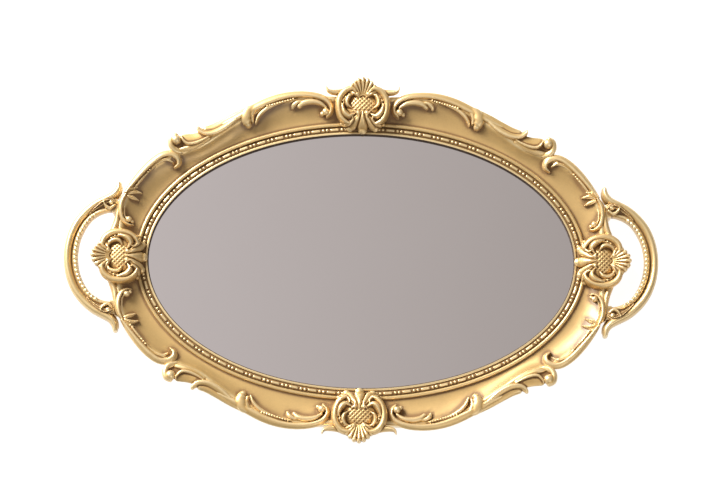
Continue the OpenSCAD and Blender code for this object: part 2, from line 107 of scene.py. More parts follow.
back = Vector((0, -math.sin(CAMERA_TILT), math.cos(CAMERA_TILT)))
level_up = back.cross(Vector((1, 0, 0)))
right = math.cos(CAMERA_ROLL) * Vector((1, 0, 0)) + math.sin(CAMERA_ROLL) * level_up
up = back.cross(right)
place = Matrix((right, up, back)).transposed().to_4x4()
place.translation = (CAMERA_AIM + back * CAMERA_DISTANCE) * MM

lens = bpy.data.cameras.new("tray_camera")
lens.lens = 123.2
lens.sensor_width = 36
lens.clip_start = 0.05
camera = bpy.data.objects.new("tray_camera", lens)
camera.matrix_world = place
bpy.context.scene.collection.objects.link(camera)
bpy.context.scene.camera = camera
print("camera at", [round(x, 3) for x in camera.location])

# %% [markdown]
# ## Shader maths
# A procedural finish is a small sum: so much dirt in the hollows, so much rubbing on the crests.
# Wrapping a node socket in a class lets that sum be written as one, and each operator adds its
# Math node. Every other node comes from one method, so a finish reads as a list of choices.
# %% Sockets as numbers, finishes as objects
class Amount:
    """A number that changes over a surface: an output socket that can be added and multiplied."""

    def __init__(self, tree, socket):
        self.tree, self.socket = tree, socket

    def sum_node(self, operation, first, second, clamp=False):
        node = self.tree.nodes.new("ShaderNodeMath")
        node.operation, node.use_clamp = operation, clamp
        for socket, value in zip(node.inputs, (first, second)):
            if isinstance(value, Amount):
                self.tree.links.new(value.socket, socket)
            else:
                socket.default_value = value
        return Amount(self.tree, node.outputs[0])

    def __add__(self, other):
        return self.sum_node("ADD", self, other)

    def __sub__(self, other):
        return self.sum_node("SUBTRACT", self, other)

    def __rsub__(self, other):
        return self.sum_node("SUBTRACT", other, self)

    def __mul__(self, other):
        return self.sum_node("MULTIPLY", self, other)

    __radd__ = __add__
    __rmul__ = __mul__

    def limited(self):
        return self.sum_node("ADD", self, 0.0, clamp=True)


class Finish:
    """A material whose nodes are made one call at a time."""

    def __init__(self, name):
        self.material = bpy.data.materials.new(name)
        self.material.use_nodes = True
        self.tree = self.material.node_tree
        self.tree.nodes.clear()

    def node(self, kind, settings=(), output=0, **sockets):
        node = self.tree.nodes.new("ShaderNode" + kind)
        for name, value in dict(settings).items():
            if name == "stops":
                ramp = node.color_ramp
                while len(ramp.elements) < len(value):
                    ramp.elements.new(0.5)
                for stop, (position, colour) in zip(ramp.elements, value):
                    stop.position, stop.color = position, (*colour, 1)
            else:
                setattr(node, name, value)
        for name, value in sockets.items():
            key = int(name[1:]) if name[1:].isdigit() else name.replace("_", " ")
            socket = node.inputs[key]
            if isinstance(value, Amount):
                self.tree.links.new(value.socket, socket)
            else:
                socket.default_value = value
        return Amount(self.tree, node.outputs[output]) if node.outputs else None

    def place(self):
        return self.node("TexCoord", output="Object")

    def noise(self, size_mm, detail=3.0, roughness=0.5):
        return self.node("TexNoise", Vector=self.place(), Scale=1 / (size_mm * MM), Detail=detail,
                         Roughness=roughness)

    def mixed(self, factor, first, second):
        return self.node("Mix", {"data_type": "RGBA"}, 2, _0=factor, _6=first, _7=second)

    def bump(self, height, depth_mm, strength=1.0):
        return self.node("Bump", Height=height, Distance=depth_mm * MM, Strength=strength)

    def surface(self, **sockets):
        shader = self.node("BsdfPrincipled", **sockets)
        self.node("OutputMaterial", Surface=shader)
        return self.material


# %% [markdown]
# ## Light and floor
# The tray lies on a frosted table that glows from within, so it casts no shadow on the white.
# The glow is hidden from diffuse light and does not fill the shaded flanks, though a glossy
# surface may still mirror it. Seen from below the table is clear, so that the felt can be seen.
# This table is a stage for the picture, and no real table behaves so.
# The window stands to the left and a little behind: the cove on that side falls into shade while
# the cove opposite catches the light. A grey panel overhead, darker to the right, is all that the
# mirror shows, and the room around it is dim.
# %% Floor, lights and sky
FLOOR_HALF = 3000
TABLE_GLOW = 0.92
PANEL_LEFT, PANEL_RIGHT = (0.56, 0.51, 0.505), (0.37, 0.33, 0.315)
ROOM_GREY = (0.24, 0.23, 0.22)


def make_floor():
    paint = Finish("white_table")
    grain = paint.noise(40)
    tint = paint.mixed(grain, (0.26, 0.26, 0.259, 1), (0.29, 0.29, 0.289, 1))
    bm = bmesh.new()
    bmesh.ops.create_grid(bm, x_segments=1, y_segments=1, size=FLOOR_HALF * MM)
    mesh = bpy.data.meshes.new("white_table")
    bm.to_mesh(mesh)
    bm.free()
    mesh.materials.append(paint.surface(Base_Color=tint, Roughness=0.9, Emission_Color=(1, 1, 1, 1),
                                        Emission_Strength=TABLE_GLOW,
                                        Alpha=1 - paint.node("NewGeometry", (), "Backfacing")))
    table = bpy.data.objects.new("white_table", mesh)
    table.location.z = -0.05 * MM
    bpy.context.scene.collection.objects.link(table)
    table.visible_diffuse = False


def make_window(name, spot_mm, size_mm, watts, colour):
    light = bpy.data.lights.new(name, "AREA")
    light.shape, light.size, light.size_y = "RECTANGLE", size_mm[0] * MM, size_mm[1] * MM
    light.energy, light.color = watts, colour
    lamp = bpy.data.objects.new(name, light)
    spot = Vector(spot_mm) * MM
    lamp.location = spot
    lamp.rotation_euler = (-spot).to_track_quat("-Z", "Y").to_euler()
    bpy.context.scene.collection.objects.link(lamp)


make_floor()
make_window("left_window", (-1100, 1000, 900), (900, 700), 70, (1.0, 0.985, 0.965))
make_window("front_card", (700, -1200, 1200), (1400, 900), 8, (1.0, 0.98, 0.96))

sky = bpy.data.worlds.new("soft_sky")
sky.use_nodes = True
bpy.context.scene.world = sky
sky_nodes, sky_links = sky.node_tree.nodes, sky.node_tree.links
direction = sky_nodes.new("ShaderNodeTexCoord")
parts = sky_nodes.new("ShaderNodeSeparateXYZ")
sky_links.new(direction.outputs["Generated"], parts.inputs[0])


def sky_blend(axis, low, high, first, second):
    """Blends two colours over a range of one component of the direction."""
    slope = sky_nodes.new("ShaderNodeMapRange")
    slope.inputs["From Min"].default_value, slope.inputs["From Max"].default_value = low, high
    shade = sky_nodes.new("ShaderNodeMix")
    shade.data_type = "RGBA"
    sky_links.new(parts.outputs[axis], slope.inputs["Value"])
    sky_links.new(slope.outputs[0], shade.inputs[0])
    for socket, colour in ((shade.inputs[6], first), (shade.inputs[7], second)):
        if isinstance(colour, tuple):
            socket.default_value = (*colour, 1)
        else:
            sky_links.new(colour, socket)
    return shade.outputs[2]


panel = sky_blend("X", -0.12, 0.12, PANEL_LEFT, PANEL_RIGHT)
sky_links.new(sky_blend("Z", 0.88, 0.95, ROOM_GREY, panel), sky_nodes["Background"].inputs["Color"])
bpy.context.scene.view_settings.view_transform = "Standard"

# %% [markdown]
# ## The oval
# Everything on the frame is set out from the edge of the mirror opening, an ellipse. A point on
# the frame is an angle round it and a distance straight out from it, which is how a frame maker
# runs a moulding round an oval. The rim stands at its own distance, further out at the corners.
# %% Points set out from the opening
RIM_WIDTH = [20.2, 22, 26, 27.5, 26.5, 23.5, 19.5, 21, 24.8, 27.8, 28.2, 26, 23.7]
RIM_STEP = 7.5
COVE_START = 9.0


def smooth_rows(rows, steps):
    """Rows of numbers along a smooth curve through the given rows."""
    rows = np.array(rows, float)
    last = len(rows) - 1
    out = []
    for i in range(steps + 1):
        u = i * last / steps
        k = min(int(u), last - 1)
        f = u - k
        p, q, r, s = rows[max(k - 1, 0)], rows[k], rows[k + 1], rows[min(k + 2, last)]
        out.append(0.5 * (2 * q + (r - p) * f + (2 * p - 5 * q + 4 * r - s) * f * f
                          + (3 * q - p - 3 * r + s) * f ** 3))
    return np.array(out)


WHOLE_RIM = RIM_WIDTH + RIM_WIDTH[-2::-1]
FINE_RIM = smooth_rows([[w] for w in RIM_WIDTH[1:0:-1] + WHOLE_RIM + RIM_WIDTH[1:2]], 520)[:, 0]


def rim_at(angle):
    """Distance of the rim from the opening, at an angle in radians."""
    turn = math.degrees(angle) % 180
    return float(np.interp(turn + RIM_STEP, np.linspace(0, 180 + 2 * RIM_STEP, 521), FINE_RIM))


def outward(angle):
    n = Vector((SIGHT_B * math.cos(angle), SIGHT_A * math.sin(angle)))
    return n.normalized()


def off_sight(angle, distance):
    return Vector((SIGHT_A * math.cos(angle), SIGHT_B * math.sin(angle))) + outward(angle) * distance


def angle_and_distance(x, y):
    """Where a plan point lies on the frame: its angle, and how far out from the opening it is."""
    angle = math.atan2(y / SIGHT_B, x / SIGHT_A)
    for _ in range(8):
        q = math.hypot(SIGHT_B * math.cos(angle), SIGHT_A * math.sin(angle))
        d = (Vector((x, y)) - off_sight(angle, 0)).dot(outward(angle))
        angle = math.atan2(y / (SIGHT_B + d * SIGHT_A / q), x / (SIGHT_A + d * SIGHT_B / q))
    return angle, d


print("rim stands", round(rim_at(0), 1), "to", round(max(FINE_RIM), 1), "mm out")

# %% [markdown]
# ## Casting tools
# A cast frame begins as a carving, and a carver thinks in strokes: a roll that follows a line,
# swells and dies away. Here a stroke is a ring of edges that is extruded from station to station
# along a smooth line. Strokes, balls and beads of one casting are then fused by a fine remesh
# and softened, which rounds every inside corner as paint and plaster do.
# %% Sweep a ring of edges through stations
def sweep(bm, stations, looped=False):
    """Extrudes the first ring of points through the rest, and caps or joins the ends."""
    count = len(stations[0])
    ring = [bm.verts.new(point) for point in stations[0]]
    pairs = [(i, (i + 1) % count) for i in range(count)]
    edges = [bm.edges.new((ring[a], ring[b])) for a, b in pairs]
    first_edges = list(edges)
    for station in stations[1:]:
        made = bmesh.ops.extrude_edge_only(bm, edges=edges)["geom"]
        fresh = {v for v in made if isinstance(v, bmesh.types.BMVert)}
        ring = [next(e.other_vert(v) for e in v.link_edges if e.other_vert(v) in fresh) for v in ring]
        for v, point in zip(ring, station):
            v.co = point
        edges = [bm.edges.get((ring[a], ring[b])) for a, b in pairs]
    if looped:
        bmesh.ops.bridge_loops(bm, edges=first_edges + edges)
    else:
        bmesh.ops.contextual_create(bm, geom=first_edges)
        bmesh.ops.contextual_create(bm, geom=edges)


def half_round(points, flat=0.25):
    """A section [across, up]: a flat underside, low straight sides and a rounded top."""
    arc = [math.pi * i / (points - 1) for i in range(points)]
    return [(-1, 0), (1, 0)] + [(math.cos(a), flat + (1 - flat) * math.sin(a) ** 0.75) for a in arc]


ROLL = half_round(11)
# A leaf's section has a raised rib along its middle and a hollow on each side of it
LEAF = [(-1, 0), (1, 0), (1, 0.45), (0.82, 0.78), (0.55, 0.7), (0.25, 0.72), (0, 1), (-0.25, 0.72),
        (-0.55, 0.7), (-0.82, 0.78), (-1, 0.45)]
# A hood slopes down on its outer side, away from a crest near its inner side
HOOD = [(-1, 0), (1, 0), (1, 0.3), (0.75, 0.55), (0.35, 0.82), (-0.1, 0.97), (-0.4, 1), (-0.68, 0.94),
        (-0.9, 0.74), (-1, 0.4)]
CAP = (0.4, 0.75, 0.95)


def stroke(bm, rows, steps=26, section=ROLL, base=None, lean=1):
    """A carved roll through rows of [x, y, half width, top], standing on base(x, y)."""
    path = smooth_rows(rows, steps)
    path[:, 2] = np.maximum(path[:, 2], 0.15)
    heading = np.gradient(path[:, :2], axis=0)
    heading /= np.linalg.norm(heading, axis=1)[:, None]
    stations = [(p[0], p[1], h, p[2], p[3], 1.0) for p, h in zip(path, heading)]
    for end, sign in ((0, -1), (-1, 1)):
        p, h = path[end], heading[end]
        caps = [(*(p[:2] + sign * h * p[2] * k), h, p[2] * math.sqrt(1 - k * k), p[3],
                 0.35 + 0.65 * math.sqrt(1 - k * k)) for k in CAP]
        stations = caps[::-1] + stations if sign < 0 else stations + caps
    rings = []
    for x, y, h, w, top, tall in stations:
        low = base(x, y)
        across = Vector((h[1], -h[0])) * w * lean
        rings.append([(x + across.x * s, y + across.y * s, low + max(top - low, 0.3) * rise * tall)
                      for s, rise in section])
    sweep(bm, rings)


def ball(bm, x, y, z, r):
    bmesh.ops.create_icosphere(bm, subdivisions=3, radius=r, matrix=Matrix.Translation((x, y, z)))


# %% [markdown]
# Each casting takes a second, quieter job from its shape: a number at every point that says how
# far the point stands out of its surroundings or sinks into them. The finishes read this number to paint
# highlights on the crests and shade in the hollows, along with the bright rubbing and dark wash that a
# gilder gives.
# %% Fuse, measure the relief and place a casting
RELIEF_FULL = 0.35


def neighbour_mean(values, pairs, counts):
    """Average of each point's neighbours, for one or more columns of values."""
    columns = []
    for column in values.T:
        total = np.bincount(pairs[:, 0], column[pairs[:, 1]], len(values))
        total += np.bincount(pairs[:, 1], column[pairs[:, 0]], len(values))
        columns.append(total / counts)
    return np.stack(columns, 1)


def mark_relief(mesh, rounds):
    """Stores how far each point stands out (+) or sinks in (-), from -1 to 1."""
    count = len(mesh.vertices)
    where = np.empty(count * 3, np.float32)
    mesh.vertices.foreach_get("co", where)
    where = where.reshape(-1, 3)
    normal = np.empty(count * 3, np.float32)
    mesh.vertex_normals.foreach_get("vector", normal)
    pairs = np.empty(len(mesh.edges) * 2, np.int32)
    mesh.edges.foreach_get("vertices", pairs)
    pairs = pairs.reshape(-1, 2)
    counts = np.maximum(np.bincount(pairs.ravel(), minlength=count), 1)
    soft = where
    for _ in range(rounds):
        soft = neighbour_mean(soft, pairs, counts)
    relief = np.sum((where - soft) * normal.reshape(-1, 3), axis=1, keepdims=True) / RELIEF_FULL
    relief = neighbour_mean(np.clip(relief, -1, 1), pairs, counts)
    layer = mesh.attributes.new("relief", "FLOAT", "POINT")
    layer.data.foreach_set("value", np.ascontiguousarray(relief[:, 0], np.float32))


def fused(bm, grain, softening):
    """One closed casting from overlapping strokes: a remesh with cells of grain millimetres."""
    bmesh.ops.recalc_face_normals(bm, faces=bm.faces)
    rough = bpy.data.meshes.new("rough")
    bm.to_mesh(rough)
    bm.free()
    carrier = bpy.data.objects.new("rough", rough)
    bpy.context.scene.collection.objects.link(carrier)
    remesh = carrier.modifiers.new("remesh", "REMESH")
    remesh.mode, remesh.voxel_size = "VOXEL", grain
    soften = carrier.modifiers.new("soften", "SMOOTH")
    soften.factor, soften.iterations = 0.5, softening
    settled = carrier.evaluated_get(bpy.context.evaluated_depsgraph_get())
    mesh = bpy.data.meshes.new_from_object(settled)
    bpy.data.objects.remove(carrier)
    return mesh


def shown(name, mesh, finish, nodes, turn=None):
    """Places a finished mesh, in millimetres, as a piece that replaces its CAD nodes."""
    piece_mesh = mesh.copy()
    piece_mesh.name = "cast_" + name
    if turn is not None:
        piece_mesh.transform(turn)
        if turn.determinant() < 0:
            piece_mesh.flip_normals()
    piece_mesh.transform(Matrix.Scale(MM, 4))
    piece_mesh.materials.clear()
    piece_mesh.materials.append(finish)
    piece_mesh.shade_smooth()
    piece = bpy.data.objects.new("cast_" + name, piece_mesh)
    bpy.context.scene.collection.objects.link(piece)
    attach(piece, "root")
    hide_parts(*nodes)
    print(f"{name}: {len(piece_mesh.polygons)} faces")
    return piece


# %% [markdown]
# ## Gold paint
# The gilding is a warm, half metallic paint over a casting, taken to be resin. It is browner in the
# hollows, where brown wash and painted shade lie, and pale on the crests, where rubbed gilding and a
# painted highlight lie. At arm's length it shows a fine unevenness of colour and a faint orange-peel
# surface.
# %% Finishes for the castings
def gold_paint(name, body, crest, hollow, shine, shade_and_wash_amount=0.85, lacquer=0.6):
    paint = Finish(name)
    relief = paint.node("Attribute", {"attribute_name": "relief"}, "Fac")
    cloud = paint.noise(14, detail=2)
    speck = paint.noise(0.9, detail=4, roughness=0.65)
    # Painted shade with brown wash: darker and browner where the relief number sinks into a hollow
    shade_and_wash_mask = (relief * -2.8 + (cloud - 0.5) * 0.5 + (speck - 0.5) * 0.35).limited()
    # Painted highlight with rubbed gilding: paler where the relief number stands out
    highlight_and_rubbing_mask = (relief * 1.9 + (speck - 0.5) * 0.6 - 0.12).limited()
    tint = paint.mixed((cloud - 0.3).limited() * 0.35, (*body, 1), (*[c * 0.82 for c in body], 1))
    tint = paint.mixed(shade_and_wash_mask * shade_and_wash_amount, tint, (*hollow, 1))
    tint = paint.mixed(highlight_and_rubbing_mask * 0.75, tint, (*crest, 1))
    peel = paint.noise(0.55, detail=2)
    return paint.surface(Base_Color=tint, Metallic=0.6 - shade_and_wash_mask * 0.35,
                         Roughness=shine + shade_and_wash_mask * 0.25 - highlight_and_rubbing_mask * 0.08 + (speck - 0.5) * 0.08,
                         Coat_Weight=lacquer, Coat_Roughness=0.33,
                         Normal=paint.bump(peel, 0.03, 0.35))


# The pale gold is both rubbed gilding and painted highlight; the dark brown is both wash and painted shade
GOLD = (0.68, 0.46, 0.18)
HIGHLIGHT_AND_RUBBED_GOLD = (0.95, 0.77, 0.44)
SHADE_AND_WASH_BROWN = (0.17, 0.08, 0.022)
casting_gold = gold_paint("casting_gold", GOLD, HIGHLIGHT_AND_RUBBED_GOLD, SHADE_AND_WASH_BROWN, 0.4)
beading_gold = gold_paint("beading_gold", (0.66, 0.43, 0.17), HIGHLIGHT_AND_RUBBED_GOLD, SHADE_AND_WASH_BROWN, 0.4,
                          lacquer=0.2)
ornament_gold = gold_paint("ornament_gold", (0.66, 0.43, 0.16), (0.92, 0.73, 0.42), SHADE_AND_WASH_BROWN,
                           0.45, shade_and_wash_amount=0.92, lacquer=0.2)
# A near-black brown with fine grain: painted shade for the lip's inner wall
painted_shade_edge = Finish("painted_shade_edge")
edge_grain = painted_shade_edge.noise(1.5, detail=3)
painted_shade_edge = painted_shade_edge.surface(
    Base_Color=painted_shade_edge.mixed(edge_grain, (0.035, 0.018, 0.01, 1), (0.07, 0.035, 0.018, 1)),
    Roughness=0.7 + edge_grain * 0.2)
print("gold finishes:", [m.name for m in bpy.data.materials if "gold" in m.name])

# %% [markdown]
# ## The frame
# The frame is one moulding run round the oval: a bright lip, a channel for the beads, a small
# round ridge, a quirk and a wide cove that climbs to the rim. The same section is used at every
# station, and only the cove stretches, so the extruded ring keeps each small moulding true.
# %% The section of the frame and the ground it gives the ornament
LIP_W = 2
CHANNEL_W = 3.8
CHANNEL_DROP = 1.5
RIDGE_R = 1.2
LEDGE_W = 3.6
BOARD_RECESS = 11.9
GLASS_RECESS = 4.4
COVE_STEPS = 16


def cove_height(k):
    return Z_LIP - 0.45 + (LEDGE_RISE + 0.45) * k ** 1.9


def front_of_section(rim):
    """The seen part of the section, from the edge of the glass to the crest of the rim."""
    ridge = LIP_W + CHANNEL_W + RIDGE_R
    points = [(0, Z_GLASS), (0, Z_LIP - 0.5), (0.15, Z_LIP - 0.15), (0.5, Z_LIP), (1.4, Z_LIP),
              (1.8, Z_LIP - 0.12), (LIP_W, Z_LIP - 0.4), (LIP_W + 0.05, Z_LIP - CHANNEL_DROP),
              (LIP_W + CHANNEL_W - 0.05, Z_LIP - CHANNEL_DROP),
              (LIP_W + CHANNEL_W, Z_LIP - 0.1)]
    points += [(ridge - RIDGE_R * math.cos(a), Z_LIP - 0.1 + RIDGE_R * math.sin(a))
               for a in np.linspace(0.25, math.pi - 0.45, 9)]
    points += [(COVE_START - 0.55, Z_LIP - 0.5)]
    reach = rim - LEDGE_W - COVE_START
    points += [(COVE_START + reach * k, cove_height(k)) for k in np.linspace(0, 1, COVE_STEPS)]
    return points


def back_of_section(rim):
    """The rim's round crest, the outer wall and the recesses for board and glass."""
    crest = [(rim - LEDGE_W * s, Z_LEDGE + rise) for s, rise in
             ((0.8, 0.5), (0.55, 0.75), (0.3, 0.55), (0.1, -0.1), (0, -1.2))]
    return crest + [(rim, 5), (rim - 0.2, 3), (rim - 1.2, Z_BOTTOM), (BOARD_RECESS, Z_BOTTOM),
                    (BOARD_RECESS, Z_BOARD), (GLASS_RECESS, Z_BOARD), (GLASS_RECESS, Z_GLASS)]


def ground(x, y):
    """Height of the frame's upper face under a plan point, a little sunk."""
    angle, d = angle_and_distance(x, y)
    rim = rim_at(angle)
    outline = front_of_section(rim) + back_of_section(rim)[:2]
    return float(np.interp(d, [p[0] for p in outline], [p[1] for p in outline])) - 0.5


# %% Run the moulding round the oval
FRAME_STATIONS = 480


def make_frame():
    bm = bmesh.new()
    stations = []
    for i in range(FRAME_STATIONS):
        angle = 2 * math.pi * i / FRAME_STATIONS
        section = front_of_section(rim_at(angle)) + back_of_section(rim_at(angle))
        out = outward(angle)
        edge = off_sight(angle, 0)
        stations.append([(edge.x + out.x * d, edge.y + out.y * d, z) for d, z in section])
    sweep(bm, stations, looped=True)
    bmesh.ops.recalc_face_normals(bm, faces=bm.faces)
    mesh = bpy.data.meshes.new("frame")
    bm.to_mesh(mesh)
    bm.free()
    mark_relief(mesh, 3)
    piece = shown("frame", mesh, casting_gold, ["frame"])
    piece.data.set_sharp_from_angle(angle=math.radians(50))
    # The lip's inner wall and the innermost 0.4 mm of the lip take the near-black brown: painted shade for
    # the shadow under the lip and its reflection in the glass
    piece.data.materials.append(painted_shade_edge)
    for face in piece.data.polygons:
        x, y, z = face.center / MM
        if math.hypot(x / (SIGHT_A + 0.42), y / (SIGHT_B + 0.42)) < 1 and z > Z_GLASS:
            face.material_index = 1
    return piece


frame_piece = make_frame()

# %% [markdown]
# ## Bead and reel
# Beads keep one even pitch round the oval, so their places are measured along the strip and not
# by angle. A pair of beads is followed by one long reel, and the beads that would lie under the
# four medallions are left out, as they are when the strip is cut to fit.
# %% Beads, reels and their strip
BEAD_PAIRS = 60
BEAD_R = 1.1
REEL_R = 0.95
STRIP_IN, STRIP_W, STRIP_H = 2.3, 3.2, 0.9
Z_STRIP = Z_LIP - CHANNEL_DROP + STRIP_H
fine_angles = np.linspace(0, 2 * math.pi, 2881)
strip_line = np.array([off_sight(a, STRIP_IN + STRIP_W / 2) for a in fine_angles])
run = np.concatenate([[0], np.cumsum(np.linalg.norm(np.diff(strip_line, axis=0), axis=1))])
BEAD_PITCH = run[-1] / BEAD_PAIRS
PAIR_GAP = 2.3 * BEAD_R
REEL_L = BEAD_PITCH - 2 * PAIR_GAP - BEAD_R


def on_strip(length):
    angle = float(np.interp(length % run[-1], run, fine_angles))
    out = outward(angle)
    spot = off_sight(angle, STRIP_IN + STRIP_W / 2)
    place = Matrix.Translation((spot.x, spot.y, Z_STRIP))
    return place @ Matrix.Rotation(math.atan2(out.y, out.x), 4, "Z")


def make_beads():
    bm = bmesh.new()
    for i in range(BEAD_PAIRS):
        if i % (BEAD_PAIRS // 4):
            for side in (-0.5, 0.5):
                bmesh.ops.create_icosphere(bm, subdivisions=2, radius=BEAD_R,
                                           matrix=on_strip(i * BEAD_PITCH + side * PAIR_GAP))
        if i % (BEAD_PAIRS // 4) and (i + 1) % (BEAD_PAIRS // 4):
            middle = (i + 0.5) * BEAD_PITCH
            stations = []
            for k in np.linspace(-1, 1, 13):
                fit = on_strip(middle + k * REEL_L / 2)
                r = REEL_R * (1 - abs(k) ** 12) ** 0.5 + 0.05
                stations.append([fit @ Vector((r * math.cos(a), 0, r * math.sin(a)))
                                 for a in np.linspace(0, 2 * math.pi, 13)[:-1]])
            sweep(bm, stations)
    strip = [(STRIP_IN, -STRIP_H), (STRIP_IN, -0.15), (STRIP_IN + 0.15, 0),
             (STRIP_IN + STRIP_W - 0.15, 0), (STRIP_IN + STRIP_W, -0.15), (STRIP_IN + STRIP_W, -STRIP_H)]
    rings = []
    for angle in np.linspace(0, 2 * math.pi, 361)[:-1]:
        out, edge = outward(angle), off_sight(angle, 0)
        rings.append([(edge.x + out.x * d, edge.y + out.y * d, Z_STRIP + z) for d, z in strip])
    sweep(bm, rings, looped=True)
    bmesh.ops.recalc_face_normals(bm, faces=bm.faces)
    mesh = bpy.data.meshes.new("beads")
    bm.to_mesh(mesh)
    bm.free()
    # The bead relief is set by height: the tops of beads and reels get a painted highlight, and the flat
    # strip between them gets painted shade, with rubbing and wash
    height = np.array([v.co.z for v in mesh.vertices]) - Z_STRIP
    relief = np.clip((height - BEAD_R * 0.45) / (BEAD_R * 0.5), -1, 1)
    mesh.attributes.new("relief", "FLOAT", "POINT").data.foreach_set("value", relief.astype(np.float32))
    shown("bead_and_reel", mesh, beading_gold, ["bead_and_reel_ring"])


make_beads()
print(f"bead pitch {BEAD_PITCH:.2f} mm")

# %% [markdown]
# ## The applied scrolls
# Each quarter of the frame carries an arch scroll, an S scroll, a corner scroll, a side scroll
# and a sprig. They are carved like hood mouldings: the crest runs near the inner edge, and the
# back slopes away to the rim. One quarter is drawn and the other three are its mirror images,
# which is also how a mould maker would save work. Tops are measured from the scrolls' level.
# %% Carve and place the scrolls of one quarter
QUARTERS = {"back_right": (1, 1), "back_left": (-1, 1), "front_left": (-1, -1), "front_right": (1, -1)}


def scroll(bm, rows, steps=26, section=ROLL, lean=1):
    stroke(bm, [(x, y, w, Z_SCROLL + top) for x, y, w, top in rows], steps, section, ground, lean)


def knob(bm, x, y, r, top):
    z = Z_SCROLL + top - r
    ball(bm, x, y, z, r)
    low = ground(x, y)
    if z > low:
        fit = Matrix.Translation((x, y, (low + z) / 2))
        bmesh.ops.create_cone(bm, cap_ends=True, segments=20, radius1=r * 0.85, radius2=r * 0.85,
                              depth=z - low, matrix=fit)


def bead_run(bm, start, end, count, r, rise=0.2):
    for k in np.linspace(0, 1, count):
        x, y = np.array(start) * (1 - k) + np.array(end) * k
        ball(bm, x, y, ground(x, y) + 0.5 + rise, r)


SCROLL_GRAIN, SCROLL_SOFTENING, RELIEF_ROUNDS = 0.28, 6, 24


def place_quarters(name, bm):
    mesh = fused(bm, SCROLL_GRAIN, SCROLL_SOFTENING)
    mark_relief(mesh, RELIEF_ROUNDS)
    for quarter, (sx, sy) in QUARTERS.items():
        shown(f"{name}_{quarter}", mesh, ornament_gold,
              [f"{name}_{quarter}"], Matrix.Diagonal((sx, sy, 1, 1)))
    bpy.data.meshes.remove(mesh)


def arch_scroll():
    bm = bmesh.new()
    scroll(bm, [(23.6, 95.4, 0.7, -2.6), (21, 98.2, 1.3, -1.6), (20.6, 102.2, 1.6, -0.9),
                (23.6, 106.4, 1.8, -0.4), (30, 109.2, 2, 0), (40, 110.2, 2.1, 0), (51, 109, 2.3, 0),
                (62, 105.4, 2.6, 0), (74, 99.4, 2.5, 0), (85, 93.2, 2, -0.2), (95, 88.2, 0.9, -1)],
           60, HOOD, -1)
    scroll(bm, [(40, 107, 0.4, -2.6), (48, 106.2, 0.9, -1.7), (57, 103.6, 1.2, -1.1),
                (64, 99.8, 1.3, -0.8), (68.6, 95.2, 1.2, -0.8), (70.6, 90.4, 0.7, -1.8)], 40)
    scroll(bm, [(66, 103, 1, -1), (70.8, 100.6, 1.7, -0.3), (73.2, 96, 1.5, -0.4),
                (72.6, 91.4, 0.9, -1.6)], 26)
    scroll(bm, [(70, 101.4, 1.4, -0.6), (75.2, 98.8, 3, 0.2), (77, 94.6, 3.5, 0.4),
                (76.2, 91, 3.2, -0.4), (75.6, 89.6, 2.4, -1.4)], 26)
    scroll(bm, [(24.4, 101.8, 0.9, -2), (28.4, 104.4, 1.5, -1), (34, 105.4, 1.9, -0.7),
                (39.4, 104.4, 1.9, -1), (42.2, 102.2, 1.5, -2)], 30)
    scroll(bm, [(38, 105, 0.9, -1.8), (42.6, 105, 1.3, -1.2), (45.6, 103, 1.5, -1.4),
                (46.4, 101, 0.9, -2.6)], 18)
    knob(bm, 24.4, 98.8, 2.4, -0.9)
    knob(bm, 26.8, 97.4, 1.4, -2.4)
    bead_run(bm, (46, 106.6), (63, 101.6), 11, 0.7, 1.2)
    place_quarters("arch_scroll", bm)


def ess_scroll():
    bm = bmesh.new()
    scroll(bm, [(81, 95.4, 0.9, -0.4), (86, 91.4, 2, 0), (92, 86.8, 2.5, 0.5), (98.4, 83.6, 2.4, 0.9),
                (104, 83.2, 2.2, 1), (107.4, 85, 1.7, 1), (108.4, 86.4, 1.2, 1)], 40, HOOD, -1)
    scroll(bm, [(101, 83.4, 1.2, -1.6), (106, 81.2, 2.8, -1), (111.4, 79.4, 3.4, -0.8),
                (117.6, 79.4, 2.8, -0.6)], 24, HOOD, -1)
    scroll(bm, [(76, 100.4, 1, -1.4), (83.6, 95.8, 1.9, -1.1), (91.6, 90.6, 2.5, -0.9),
                (98.6, 87, 2.4, -0.6), (103.6, 86, 1.6, -0.4)], 28, HOOD, -1)
    scroll(bm, [(112, 76.6, 1.4, -2.2), (118.6, 75.2, 2.4, -2.2), (123, 74.6, 2, -2)], 14)
    scroll(bm, [(100, 81.6, 0.5, -0.6), (104.6, 78.6, 0.9, 0.2), (110.4, 76, 1.2, 0.8),
                (115.4, 75.6, 1.1, 1.2), (118.6, 78.4, 0.8, 1.4), (119.2, 80.4, 0.4, 1)], 34)
    scroll(bm, [(101, 79.4, 0.8, -1.2), (107, 75.8, 1.5, -0.8), (113, 73.2, 1.8, -0.6),
                (118.4, 71.8, 1.6, -1), (122.6, 71, 0.9, -2)], 30, HOOD)
    scroll(bm, [(119.6, 70, 1, -1.6), (123.8, 71.4, 1.8, -0.2), (126, 74.6, 2.1, 0.8),
                (125.6, 79, 2.2, 1.4), (123, 81.2, 1.6, 1.4)], 24)
    scroll(bm, [(118, 70, 0.5, -2.2), (121.4, 71.4, 1.1, -1), (124.4, 73.6, 0.8, -0.4)], 16)
    knob(bm, 122.8, 78.2, 3.5, 2.4)
    place_quarters("ess_scroll", bm)


